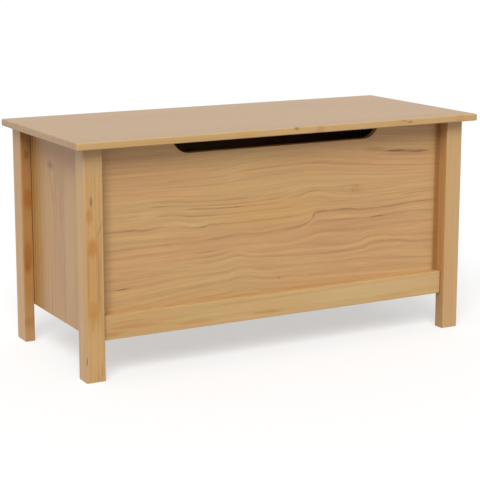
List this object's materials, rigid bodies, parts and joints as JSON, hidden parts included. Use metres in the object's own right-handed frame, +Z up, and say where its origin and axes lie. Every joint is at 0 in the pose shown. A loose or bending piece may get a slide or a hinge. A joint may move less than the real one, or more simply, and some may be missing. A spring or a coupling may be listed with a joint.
{
  "type": "storage box",
  "caption": "Long pine storage box on square legs, with framed board sides, a finger slot and a hinged lid held by folding stays.",
  "frame": {"origin": "on the floor, under the middle of the box's outline", "axes": "+X along the width to the right, +Y from the front to the back, +Z up; the front faces -Y"},
  "size_m": [1.1, 0.4876, 0.562],
  "materials": {
    "pine_lid": "clear satin lacquer on pine",
    "pine_front": "clear satin lacquer on pine",
    "pine_side": "clear satin lacquer on pine",
    "pine_leg": "clear satin lacquer on pine",
    "pine_rail": "clear satin lacquer on pine",
    "pine_inner": "planed, unfinished pine",
    "plywood": "sanded plywood",
    "beech_dowel": "fluted beech dowel",
    "hinge_steel": "brass-yellow passivated steel",
    "stay_steel": "bright zinc plate",
    "zinc_steel": "bright zinc plate"
  },
  "bodies": {
    "carcass": {"back_floor_cleat": "pine_inner", "back_panel": "pine_front", "cleat_screws": "zinc_steel", "corner_batten_screws": "zinc_steel", "floor_panel": "plywood", "front_floor_cleat": "pine_inner", "front_left_corner_batten": "pine_inner", "front_left_leg": "pine_leg", "front_panel": "pine_front", "front_rail": "pine_rail", "front_right_corner_batten": "pine_inner", "front_right_leg": "pine_leg", "hinge_body_screws": "zinc_steel", "left_floor_cleat": "pine_inner", "left_hinge_body_leaf": "hinge_steel", "left_hinge_pin": "hinge_steel", "left_side_panel": "pine_side", "left_stay_foot_rivet": "zinc_steel", "left_stay_side_bracket": "stay_steel", "rail_dowels": "beech_dowel", "rail_screws": "zinc_steel", "rear_left_corner_batten": "pine_inner", "rear_left_leg": "pine_leg", "rear_leg_screws": "zinc_steel", "rear_right_corner_batten": "pine_inner", "rear_right_leg": "pine_leg", "right_floor_cleat": "pine_inner", "right_hinge_body_leaf": "hinge_steel", "right_hinge_pin": "hinge_steel", "right_side_panel": "pine_side", "right_stay_foot_rivet": "zinc_steel", "right_stay_side_bracket": "stay_steel", "stay_side_screws": "zinc_steel"},
    "lid": {"hinge_lid_screws": "zinc_steel", "left_hinge_lid_leaf": "hinge_steel", "left_lid_batten": "pine_inner", "left_stay_lid_bracket": "stay_steel", "left_stay_lid_rivet": "zinc_steel", "lid_batten_screws": "zinc_steel", "lid_panel": "pine_lid", "right_hinge_lid_leaf": "hinge_steel", "right_lid_batten": "pine_inner", "right_stay_lid_bracket": "stay_steel", "right_stay_lid_rivet": "zinc_steel", "stay_lid_screws": "zinc_steel"},
    "left_lower_arm": {"left_stay_elbow_rivet": "zinc_steel", "left_stay_lower_arm": "stay_steel"},
    "left_upper_arm": {"left_stay_upper_arm": "stay_steel"},
    "right_lower_arm": {"right_stay_elbow_rivet": "zinc_steel", "right_stay_lower_arm": "stay_steel"},
    "right_upper_arm": {"right_stay_upper_arm": "stay_steel"}
  },
  "joints": [
    {"name": "lid_hinge", "type": "hinge", "parent": "carcass", "child": "lid", "pos_m": [0, 0.24075, 0.5417], "axis": [-1, 0, 0], "range_deg": [0, 96]},
    {"name": "left_stay_foot", "type": "hinge", "parent": "carcass", "child": "left_lower_arm", "pos_m": [-0.4775, 0.18475, 0.4217], "axis": [-1, 0, 0], "range_deg": [0, 96]},
    {"name": "left_stay_head", "type": "hinge", "parent": "lid", "child": "left_upper_arm", "pos_m": [-0.4745, 0.09075, 0.531], "axis": [1, 0, 0], "range_deg": [0, 96]},
    {"name": "right_stay_foot", "type": "hinge", "parent": "carcass", "child": "right_lower_arm", "pos_m": [0.4775, 0.18475, 0.4217], "axis": [-1, 0, 0], "range_deg": [0, 96]},
    {"name": "right_stay_head", "type": "hinge", "parent": "lid", "child": "right_upper_arm", "pos_m": [0.4745, 0.09075, 0.531], "axis": [1, 0, 0], "range_deg": [0, 96]}
  ],
  "couplings": [
    {"joint": "left_stay_foot", "follows": "lid_hinge", "ratio": 1},
    {"joint": "left_stay_head", "follows": "lid_hinge", "ratio": 1},
    {"joint": "right_stay_foot", "follows": "lid_hinge", "ratio": 1},
    {"joint": "right_stay_head", "follows": "lid_hinge", "ratio": 1}
  ]
}
